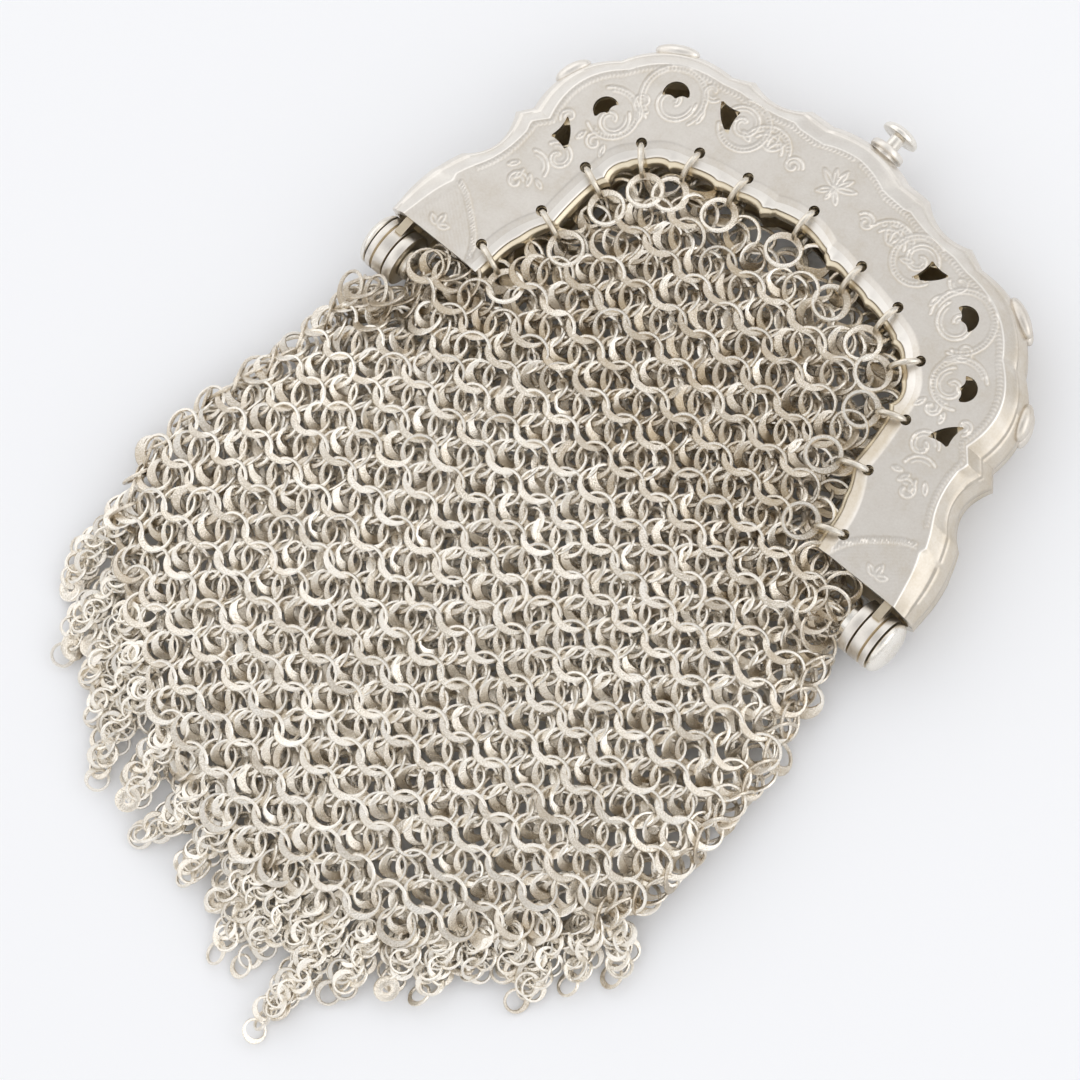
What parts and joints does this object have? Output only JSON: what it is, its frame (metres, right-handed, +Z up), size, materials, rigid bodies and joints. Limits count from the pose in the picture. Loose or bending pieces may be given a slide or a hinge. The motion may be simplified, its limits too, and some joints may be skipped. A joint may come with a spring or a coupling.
{
  "type": "mail frame purse",
  "caption": "Silver purse of linked ring mail on an arched, pierced and engraved hinged frame with a push-button catch and a chain fringe, lying on its back.",
  "frame": {"origin": "middle of the footprint, on the surface the purse lies on", "axes": "+Y along the purse towards the push button, +X to the right of its front face, +Z up out of the front face"},
  "size_m": [0.0944, 0.1448, 0.0118],
  "materials": {
    "frame_silver": "satin, engraved, tarnished in the recesses",
    "bright_silver": "polished by wear",
    "mail_silver": "worn satin with brown tarnish"
  },
  "bodies": {
    "purse": {"frame_front": "frame_silver", "frame_back": "frame_silver", "hinge_pin_left": "bright_silver", "hinge_pin_right": "bright_silver", "jump_ring_front_01": "bright_silver", "jump_ring_front_02": "bright_silver", "jump_ring_front_03": "bright_silver", "jump_ring_front_04": "bright_silver", "jump_ring_front_05": "bright_silver", "jump_ring_front_06": "bright_silver", "jump_ring_front_07": "bright_silver", "jump_ring_front_08": "bright_silver", "jump_ring_front_09": "bright_silver", "jump_ring_front_10": "bright_silver", "jump_ring_front_11": "bright_silver", "jump_ring_front_12": "bright_silver", "jump_ring_front_13": "bright_silver", "jump_ring_back_01": "bright_silver", "jump_ring_back_02": "bright_silver", "jump_ring_back_03": "bright_silver", "jump_ring_back_04": "bright_silver", "jump_ring_back_05": "bright_silver", "jump_ring_back_06": "bright_silver", "jump_ring_back_07": "bright_silver", "jump_ring_back_08": "bright_silver", "jump_ring_back_09": "bright_silver", "jump_ring_back_10": "bright_silver", "jump_ring_back_11": "bright_silver", "jump_ring_back_12": "bright_silver", "jump_ring_back_13": "bright_silver", "mail_pouch": "mail_silver", "fringe": "mail_silver"},
    "button": {"push_button": "bright_silver"}
  },
  "joints": [
    {"name": "button_press", "type": "slide", "parent": "purse", "child": "button", "axis": [0, -1, 0], "range_m": [0, 0.0013], "stiffness_N_per_m": 200, "springref_m": -0.001}
  ]
}
